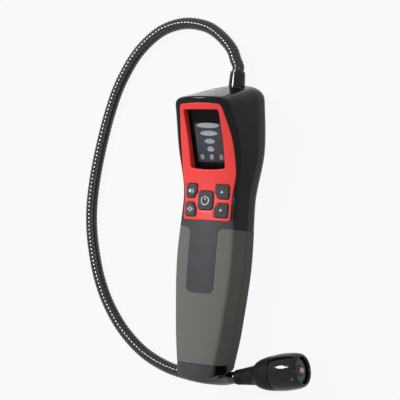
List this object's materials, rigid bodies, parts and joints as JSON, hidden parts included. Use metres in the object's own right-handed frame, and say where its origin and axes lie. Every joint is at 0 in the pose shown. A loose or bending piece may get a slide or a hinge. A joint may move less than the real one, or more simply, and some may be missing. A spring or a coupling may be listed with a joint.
{
  "type": "combustible gas detector",
  "caption": "Handheld gas detector with a tilted display head, soft keys, a rubber grip and a bendable probe neck that ends in a screw-capped sensor head.",
  "frame": {"origin": "on the plane of the flat back, on the body's centre line, level with the top of the handle's grip window", "axes": "+Y from the tail to the display head, +Z out of the face, +X to the right of the face"},
  "size_m": [0.1961, 0.2538, 0.0492],
  "materials": {
    "black_shell": "moulded, soft gloss",
    "red_shell": "moulded, soft gloss",
    "grip_rubber": "matt moulded rubber",
    "key_rubber": "matt with white signs",
    "smoked_lens": "clear smoked plastic window",
    "light_guide": "milky light guide",
    "panel": "dark grey printed panel",
    "board": "lacquered circuit board",
    "part_black": "moulded",
    "steel": "plated",
    "cell": "printed sleeve, left plain",
    "neck": "ribbed, glossy",
    "boot": "satin",
    "gloss_black": "high gloss",
    "filter": "sintered",
    "sensor": "satin"
  },
  "bodies": {
    "body": {"front_housing": "black_shell", "rear_housing": "black_shell", "grip_overmold": "grip_rubber", "faceplate": "red_shell", "display_window": "smoked_lens", "indicator_panel": "panel", "indicator_board": "board", "level_light_1": "light_guide", "level_light_2": "light_guide", "level_light_3": "light_guide", "level_light_4": "light_guide", "status_light_left": "light_guide", "status_light_middle": "light_guide", "status_light_right": "light_guide", "circuit_board": "board", "power_switch": "part_black", "sound_switch": "part_black", "vibrate_switch": "part_black", "high_switch": "part_black", "low_switch": "part_black", "buzzer": "part_black", "vibration_motor": "steel", "cell_1": "cell", "cell_2": "cell", "cell_3": "cell", "cell_4": "cell", "cell_spring_left": "steel", "cell_spring_right": "steel", "contact_plate_left_rear": "steel", "contact_plate_left_front": "steel", "contact_plate_right_rear": "steel", "contact_plate_right_front": "steel", "housing_screw_1": "steel", "housing_screw_2": "steel", "housing_screw_3": "steel", "housing_screw_4": "steel", "neck_collar": "gloss_black", "neck_nut": "steel", "gooseneck": "neck", "probe_boot": "boot", "seal_ring": "part_black", "gas_sensor": "sensor", "filter_ring": "filter"},
    "battery_cover": {"battery_cover": "grip_rubber"},
    "sensor_cap": {"sensor_cap": "gloss_black"},
    "power_key": {"power_key": "key_rubber"},
    "sound_key": {"sound_key": "key_rubber"},
    "vibrate_key": {"vibrate_key": "key_rubber"},
    "high_key": {"high_key": "key_rubber"},
    "low_key": {"low_key": "key_rubber"}
  },
  "joints": [
    {"name": "battery_cover_swing", "type": "hinge", "parent": "body", "child": "battery_cover", "pos_m": [0, 0.0365, 0], "axis": [1, 0, 0], "range_deg": [0, 50]},
    {"name": "sensor_cap_turn", "type": "hinge", "parent": "body", "child": "sensor_cap", "pos_m": [0.0235, -0.0918, 0.0122], "axis": [0.9781, 0.2079, 0], "continuous": true},
    {"name": "power_key_press", "type": "slide", "parent": "body", "child": "power_key", "axis": [0, 0, -1], "range_m": [0, 0.0008], "stiffness_N_per_m": 600},
    {"name": "sound_key_press", "type": "slide", "parent": "body", "child": "sound_key", "axis": [0, 0, -1], "range_m": [0, 0.0008], "stiffness_N_per_m": 600},
    {"name": "vibrate_key_press", "type": "slide", "parent": "body", "child": "vibrate_key", "axis": [0, 0, -1], "range_m": [0, 0.0008], "stiffness_N_per_m": 600},
    {"name": "high_key_press", "type": "slide", "parent": "body", "child": "high_key", "axis": [0, 0, -1], "range_m": [0, 0.0008], "stiffness_N_per_m": 600},
    {"name": "low_key_press", "type": "slide", "parent": "body", "child": "low_key", "axis": [0, 0, -1], "range_m": [0, 0.0008], "stiffness_N_per_m": 600}
  ]
}
